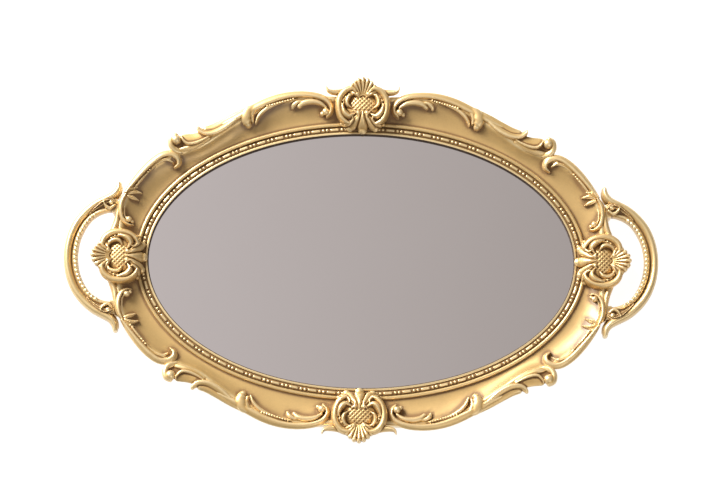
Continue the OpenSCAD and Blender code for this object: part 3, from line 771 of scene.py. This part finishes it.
def corner_scroll():
    bm = bmesh.new()
    scroll(bm, [(123.6, 59.8, 0.6, -3), (120.8, 62.4, 1.5, -2), (121.2, 66.2, 2.1, -1.2),
                (125.4, 69, 2.2, -0.6), (131.4, 68.2, 2.2, 0), (138, 63.6, 2.3, 0.4),
                (144.6, 56.8, 2.2, 0.7), (150.6, 49.2, 1.8, 0.9), (155.4, 42.4, 1, 0.9)], 52, HOOD, -1)
    scroll(bm, [(124.8, 63.2, 0.5, -2.4), (128.4, 65.2, 1.2, -1.2), (133, 64.2, 1.5, -0.8),
                (137.4, 60.8, 1.1, -1), (141, 57, 0.5, -1.8)], 28, LEAF)
    scroll(bm, [(136.6, 60, 0.4, -2.2), (141.6, 55.6, 0.8, -1.2), (146.4, 49.8, 0.9, -0.8),
                (149.8, 44.8, 0.5, -1.2)], 26)
    bead_run(bm, (139.4, 57.6), (149.6, 45.6), 9, 0.65, 1.3)
    place_quarters("corner_scroll", bm)


WALL_ROLL_BOTTOM = 9


def side_scroll():
    bm = bmesh.new()
    scroll(bm, [(155, 42, 0.8, 0.2), (157.6, 37.6, 1.6, 0.3), (158.6, 32.2, 1.7, 0.2),
                (158, 27, 1.6, -0.4), (155.8, 23, 1.3, -1.2), (152.6, 21.2, 0.9, -2.2),
                (149.8, 21.4, 0.4, -3.4)], 36, HOOD, -1)
    scroll(bm, [(154.8, 36, 0.3, -2.6), (155.8, 32, 0.6, -2), (155.6, 28, 0.5, -2),
                (154.6, 25.6, 0.4, -2.2)], 16)
    stroke(bm, [(159.6, 33, 1.2, 17), (160, 28, 2, 17.2), (160.8, 22.6, 2.4, 17),
                (162.8, 17.4, 2.3, 16.8), (165.2, 13.2, 1.6, 16.4)], 22, ROLL, lambda x, y: WALL_ROLL_BOTTOM)
    knob(bm, 152.8, 24.8, 2, -0.9)
    knob(bm, 150.6, 23.4, 1.1, -2.6)
    place_quarters("side_scroll", bm)


def leaf_sprig():
    bm = bmesh.new()
    for rows in ([(153.4, 41.8, 0.8, -0.8), (149.6, 43.2, 1.4, -0.9), (144.6, 42.4, 0.3, -2.8)],
                 [(154, 43.6, 0.7, -0.8), (150.8, 45.4, 1.1, -1), (147.4, 46.2, 0.3, -2.4)],
                 [(153.6, 40.2, 0.8, -0.8), (150.4, 39.2, 1.3, -1.1), (146.6, 37.6, 0.3, -3)]):
        scroll(bm, rows, 16, LEAF)
    place_quarters("leaf_sprig", bm)


arch_scroll()
ess_scroll()
corner_scroll()
side_scroll()
leaf_sprig()

# %% [markdown]
# ## The medallions
# Four shield medallions stand on the axes. Each has an open ring of two C rolls, a domed shield
# with a diagonal lattice, crescents that curl beside it, a fan of petals at its outer end and a
# lily that spills over the cove on to the lip. The back and front ones also carry two wing
# feathers. They are drawn in their own frame: u across, v outwards, heights from the ledge.
# %% Carve the medallions
RING_OFF = 18
MEDALLION_GRAIN, MEDALLION_SOFTENING = 0.23, 5
DOME_MIDDLE, DOME_HALF, DOME_TOP = (0, -0.4), (11.5, 9.6), 4.4
RING = [(3.4, 8, 1.3, 4.8), (4.4, 10.3, 1.8, 6), (8, 11.3, 2.1, 6.6), (12.2, 9.5, 2.3, 6.4),
        (15.3, 4.8, 2.4, 6), (15.9, -0.8, 2.4, 5.6), (14.7, -6.2, 2.2, 5), (11.8, -10.1, 1.9, 4.2),
        (8.4, -11.7, 1.2, 3.2)]
THIN_ROLL = [(9.4, 8.2, 0.5, 4), (11.8, 5.4, 0.8, 4.6), (12.7, 1.6, 0.8, 4.6), (12.6, -2, 0.5, 4.2)]
CRESCENT = [(6, 7.6, 0.6, 4.8), (8.8, 6.6, 1.3, 5.8), (10.4, 3.4, 1.6, 6.2), (9.8, 0.2, 1.4, 6),
            (7.4, -1.6, 0.7, 5)]
SHELL_LEAF = [(5, -5.2, 0.8, 4.2), (8.6, -7, 2.1, 5.6), (11.6, -5.2, 2.5, 6.2),
              (13.2, -1.6, 1.6, 6), (13.8, 1.4, 0.5, 5)]
LOWER_CURL = [(4.8, -4.2, 1, 5.2), (3, -5.8, 1.4, 5.2), (3, -8.6, 1.3, 4.2), (5, -11.4, 1.1, 2.2),
              (8.4, -13.2, 0.7, -0.2)]
LOWER_ROLL = [(7.2, -7, 0.7, 4.8), (6.4, -9.2, 1.3, 4.2), (8.8, -11.8, 1.3, 2.6), (12, -12.6, 0.8, 0.8)]
WING = [(10, 11, 1.6, 3.6), (15, 9.3, 2, 4.4), (20, 9.2, 1.7, 5), (22.9, 10.2, 1.1, 5.4),
        (24.1, 12.6, 0.4, 5.8)]
LILY = [[(0, -4.2, 1, 5), (0, -8.4, 2.2, 4.6), (0, -12.4, 3.3, 2), (0, -14.8, 3.1, -0.6)],
        [(1.4, -4.8, 0.9, 4.6), (3.6, -8.8, 1.9, 4), (6.6, -12, 2.9, 1.2), (8.4, -13.8, 2.5, -0.8)],
        [(2.4, -5.2, 0.8, 4), (6, -8.8, 1.6, 3.2), (10.4, -10.8, 2.2, 1), (13.4, -11.2, 1.6, -0.8)]]


def dome_top(u, v):
    bulge = 1 - ((u - DOME_MIDDLE[0]) / DOME_HALF[0]) ** 2 - ((v - DOME_MIDDLE[1]) / DOME_HALF[1]) ** 2
    return DOME_TOP * math.sqrt(max(bulge, 0))


def medallion(base_at, winged):
    """base_at(u, v) gives the height that the medallion's strokes rise from."""
    bm = bmesh.new()

    def line(rows, steps):
        stroke(bm, [(u, v, w, Z_LEDGE + top) for u, v, w, top in rows], steps, ROLL, base_at)

    plate = Matrix.Translation((0, 0, (Z_LIP + 1 + Z_LEDGE + 1) / 2)) @ Matrix.Diagonal((1.3, 1, 1, 1))
    bmesh.ops.create_cone(bm, cap_ends=True, segments=48, radius1=10.6, radius2=10.6,
                          depth=Z_LEDGE - Z_LIP, matrix=plate)
    dome = Matrix.Translation((*DOME_MIDDLE, Z_LEDGE)) @ Matrix.Diagonal((*DOME_HALF, DOME_TOP, 1))
    bmesh.ops.create_uvsphere(bm, u_segments=48, v_segments=24, radius=1, matrix=dome)
    for lean in (-1, 1):
        for offset in np.arange(-11.6, 11.7, 2.9):
            rows = []
            for k in np.linspace(-9, 9, 19):
                u, v = offset + lean * k * 0.71, k * 0.71
                if math.hypot(u / 8.2, (v - 0.2) / 6.4) < 1:
                    rows.append((u, v, 1, dome_top(u, v) + 0.4))
            if len(rows) > 2:
                line(rows, 12)
    for side in (-1, 1):
        for rows in [RING, THIN_ROLL, CRESCENT, SHELL_LEAF, LOWER_CURL, LOWER_ROLL,
                     LILY[1], LILY[2]] + ([WING] if winged else []):
            line([(side * u, v, w, top) for u, v, w, top in rows], 34)
        ball(bm, side * 3.6, 7.6, Z_LEDGE + 4.4, 1.5)
        ball(bm, side * 2.9, -4.9, Z_LEDGE + 4.2, 1.2)
        for k in range(5):
            turn = math.radians(62 - 14 * k)
            ball(bm, side * 13.9 * math.cos(turn) * 0.98, 10.4 * math.sin(turn) - 0.4,
                 Z_LEDGE + 4.6, 0.62)
    line(LILY[0], 24)
    for angle, reach, top in ((0, 14.3, 8.3), (14, 13.9, 8), (28, 13, 7.4), (42, 12.4, 6.4),
                              (56, 12, 5.2)):
        for side in ((-1, 1) if angle else (1,)):
            run = Vector((math.sin(math.radians(side * angle)), math.cos(math.radians(angle))))
            line([(run.x * r, 4 + run.y * r, w, t) for r, w, t in
                  ((3, 0.6, 4.6), (6.5, 1.1, 6), (reach - 3, 1.7, top), (reach - 1, 1.5, top))], 18)
            ball(bm, run.x * (reach - 1), 4 + run.y * (reach - 1), Z_LEDGE + top - 1.5, 1.5)
    mesh = fused(bm, MEDALLION_GRAIN, MEDALLION_SOFTENING)
    mark_relief(mesh, RELIEF_ROUNDS)
    return mesh


MEDALLION_TURNS = {"back": (0, SIGHT_B, 0), "front": (0, -SIGHT_B, 180), "left": (-SIGHT_A, 0, 90),
                   "right": (SIGHT_A, 0, -90)}


def place_medallions():
    long_side = medallion(lambda u, v: max(ground(u, SIGHT_B + RING_OFF + v), Z_LIP), True)
    short_side = medallion(lambda u, v: max(ground(SIGHT_A + RING_OFF + v, u), Z_LIP), False)
    for name, (x, y, degrees) in MEDALLION_TURNS.items():
        away = Vector((x, y)).normalized() * RING_OFF
        turn = (Matrix.Translation((x + away.x, y + away.y, 0))
                @ Matrix.Rotation(math.radians(degrees), 4, "Z"))
        shown(f"medallion_{name}", long_side if x == 0 else short_side, ornament_gold,
              [f"medallion_{name}"], turn)
    for mesh in (long_side, short_side):
        bpy.data.meshes.remove(mesh)


place_medallions()

# %% [markdown]
# ## The handles
# A handle is a loop of two rolls: a smooth outer roll and a lower, gadrooned one along the inside
# of the hand hole, whose notches run at an even pitch. A leaf wraps each root and ends in a free
# tip. The flat underside stands clear of the table so that fingers can reach under the bar.
# %% Carve the handles
Z_BAR = box_mm("handle_right")[0].z
RIM_X = SIGHT_A + RIM_WIDTH[0]
LUG_W, LUG_T, ROOT_GAP, ROOT_T = 9, 5, 0.4, 3.6
LUG_Y = SIGHT_B * 0.4
BAR_BOTTOM = 10
OUTER_ROLL = [(159.8, 48.6, 1.7, 17.2), (160.4, 44.6, 2.4, 17.8), (163.2, 41, 2.6, 18.2),
              (168.4, 38, 2.8, 18.2), (174.8, 34.5, 2.9, 18.1), (180.9, 29.2, 3, 18),
              (186.2, 22.6, 2.9, 18), (189.8, 14.8, 2.8, 18), (191.7, 7, 2.7, 18), (192.2, 0, 2.7, 18)]
INNER_ROLL = [(163, 30.8, 1, 15.6), (168, 30.7, 1.6, 16.6), (173.4, 28.8, 1.8, 17),
              (178.6, 24.9, 1.9, 17.1), (183, 18.5, 2, 17.1), (186, 11.2, 2, 17.1),
              (187.3, 4, 2, 17.1), (187.5, 0, 2, 17.1)]
ROOT_LEAF = [(161.6, 35.4, 1.2, 18.4), (165.6, 37.2, 2, 19.4), (170.4, 35.4, 2, 19.4),
             (175.6, 31, 1.2, 18.6), (178.4, 27.6, 0.4, 17.8)]
ROOT_HOOK = [(169.4, 36.6, 0.5, 18.8), (168.2, 33.6, 1.2, 18.8), (165, 31.8, 1.3, 18.4),
             (162.2, 33.8, 1, 18)]
ROOT_WEB = [(162.2, 34.4, 2.4, 15.6), (167, 34, 3, 15.6), (173, 31.2, 2.8, 15.4),
            (179.4, 26.2, 2, 15.2), (184.4, 19.6, 1.8, 15), (187.6, 12, 1.7, 15), (189.6, 4, 1.6, 15),
            (189.8, 0, 1.6, 15)]
ROOT_POCKET = [(158.4, 46.6, 0.9, 13), (159.4, 43.4, 1.6, 13), (161.4, 40.4, 2, 13)]
GADROON_PITCH = 2.9
HANDLE_GRAIN, HANDLE_SOFTENING, HANDLE_RELIEF_ROUNDS = 0.28, 5, 22


def both_ways(half):
    return half + [(x, -y, w, top) for x, y, w, top in half[-2::-1]]


def make_handle():
    bm = bmesh.new()
    flat = lambda x, y: BAR_BOTTOM
    for rows in (OUTER_ROLL, INNER_ROLL, ROOT_WEB):
        stroke(bm, both_ways(rows), 120, ROLL, flat)
    inner = smooth_rows(both_ways(INNER_ROLL), 600)
    along = np.concatenate([[0], np.cumsum(np.linalg.norm(np.diff(inner[:, :2], axis=0), axis=1))])
    count = int(along[-1] / GADROON_PITCH)
    for i in range(4, count - 3):
        spot = [np.interp((i + 0.5) * along[-1] / count, along, inner[:, c]) for c in range(4)]
        nudge = Vector((-spot[0] + 150, -spot[1])).normalized() * 0.5
        ball(bm, spot[0] + nudge.x, spot[1] + nudge.y, spot[3] - 0.8, 1.42)
    for s in (-1, 1):
        stroke(bm, [(x, s * y, w, top) for x, y, w, top in ROOT_POCKET], 12, ROLL, flat)
        for rows in (ROOT_LEAF, ROOT_HOOK):
            stroke(bm, [(x, s * y, w, top) for x, y, w, top in rows], 26,
                   LEAF if rows is ROOT_LEAF else ROLL, lambda x, y: BAR_BOTTOM + 2)
        ball(bm, 164.4, s * 35.6, 17, 1.6)
        blocks = (((LUG_IN, RIM_X + ROOT_GAP + ROOT_T), (Z_BAR, Z_BAR + LUG_T)),
                  ((RIM_X + ROOT_GAP, RIM_X + ROOT_GAP + ROOT_T), (Z_BAR, 16)))
        for (x0, x1), (z0, z1) in blocks:
            fit = Matrix.Translation(((x0 + x1) / 2, s * LUG_Y, (z0 + z1) / 2))
            bmesh.ops.create_cube(bm, size=1, matrix=fit @ Matrix.Diagonal((x1 - x0, LUG_W, z1 - z0, 1)))
    mesh = fused(bm, HANDLE_GRAIN, HANDLE_SOFTENING)
    mark_relief(mesh, HANDLE_RELIEF_ROUNDS)
    for name, sx in (("handle_right", 1), ("handle_left", -1)):
        shown(name, mesh, casting_gold, [name], Matrix.Diagonal((sx, 1, 1, 1)))
    bpy.data.meshes.remove(mesh)


LUG_IN = box_mm("handle_right")[0].x
make_handle()

# %% [markdown]
# ## Mirror, board, tape, screws and felt
# These parts have plain machined or cut shapes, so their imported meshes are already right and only
# need their finishes. The mirror is clean silvered glass, faintly warm. Behind it are a hardboard
# panel with its fine fibre, white foam tape, zinc-plated screws and a brown felt pad.
# %% Finishes for the plain parts
def dress(finish, slot, *names):
    for name in names:
        node = frame["nodes"][name]
        node.data.materials.clear()
        node.data.materials.append(finish)


silver = Finish("mirror_silver")
haze = silver.noise(60, detail=3)
silver = silver.surface(Base_Color=silver.mixed(haze, (0.955, 0.945, 0.94, 1), (0.94, 0.925, 0.92, 1)),
                        Metallic=1.0, Roughness=0.02 + haze * 0.02)
dress(silver, "mirror", "mirror_glass")

hardboard = Finish("hardboard")
fibre = hardboard.noise(1.6, detail=5, roughness=0.7)
cloudy = hardboard.noise(35)
board_tint = hardboard.mixed(fibre, (0.13, 0.07, 0.035, 1), (0.3, 0.18, 0.1, 1))
board_tint = hardboard.mixed(cloudy * 0.4, board_tint, (0.2, 0.12, 0.06, 1))
hardboard = hardboard.surface(Base_Color=board_tint, Roughness=0.65 + fibre * 0.2,
                              Normal=hardboard.bump(fibre, 0.06, 0.6))
dress(hardboard, "hardboard", "backing_board")

tape = Finish("foam_tape")
cells = tape.node("TexVoronoi", Vector=tape.place(), Scale=1 / (0.5 * MM))
tape = tape.surface(Base_Color=tape.mixed(cells, (0.78, 0.77, 0.73, 1), (0.9, 0.89, 0.86, 1)),
                    Roughness=0.8, Normal=tape.bump(cells, 0.05, 0.5))
dress(tape, "foam_tape", "mirror_tape_strips")

zinc = Finish("zinc_plate")
spangle = zinc.noise(0.7, detail=3)
zinc = zinc.surface(Base_Color=zinc.mixed(spangle, (0.62, 0.62, 0.6, 1), (0.78, 0.78, 0.77, 1)),
                    Metallic=1.0, Roughness=0.28 + spangle * 0.18)
dress(zinc, "screw_steel", "backing_screws", "handle_screws")

felt = Finish("brown_felt")
nap = felt.noise(0.5, detail=5, roughness=0.75)
mottle = felt.noise(9)
felt_tint = felt.mixed(nap, (0.035, 0.022, 0.015, 1), (0.13, 0.085, 0.06, 1))
felt_tint = felt.mixed(mottle * 0.3, felt_tint, (0.09, 0.06, 0.042, 1))
felt = felt.surface(Base_Color=felt_tint, Roughness=0.95, Sheen_Weight=0.3,
                    Normal=felt.bump(nap, 0.12, 0.8))
dress(felt, "felt", "felt_base")

# %% [markdown]
# ## Painted shade in the corners
# Painted shade is laid on the frame where the ornament closes over it: on the cove close under the
# scrolls and round the medallions. A few rays from each point of the frame find how closed in it is,
# and the relief of that point is lowered to match, so the finish paints it darker.
# %% Paint shade round the ornament
SHADE_REACH = 5.5
RAYS = [(0, 90)] + [(45 * k, 38) for k in range(8)]


def paint_corner_shade():
    bm = bmesh.new()
    for piece in bpy.data.objects:
        if piece.name.startswith("cast_") and ("_scroll_" in piece.name or "sprig" in piece.name
                                               or "medallion" in piece.name):
            bm.from_mesh(piece.data)
    print("ornament faces:", len(bm.faces))
    tree = BVHTree.FromBMesh(bm)
    bm.free()
    relief = frame_piece.data.attributes["relief"]
    for vertex, mark in zip(frame_piece.data.vertices, relief.data):
        if vertex.co.z < (Z_LIP - 2) * MM or vertex.normal.z < 0.1:
            continue
        occlusion = 0
        for turn, climb in RAYS:
            a, b = math.radians(turn), math.radians(climb)
            ray = Vector((math.cos(a) * math.cos(b), math.sin(a) * math.cos(b), math.sin(b)))
            hit = tree.ray_cast(vertex.co + vertex.normal * 0.1 * MM, ray, SHADE_REACH * MM)
            if hit[0] is not None:
                occlusion += 1 - hit[3] / (SHADE_REACH * MM)
        # Painted shade: the more closed in a point is, the lower its relief and the darker its paint
        mark.value = mark.value - 1.3 * occlusion / len(RAYS)


paint_corner_shade()
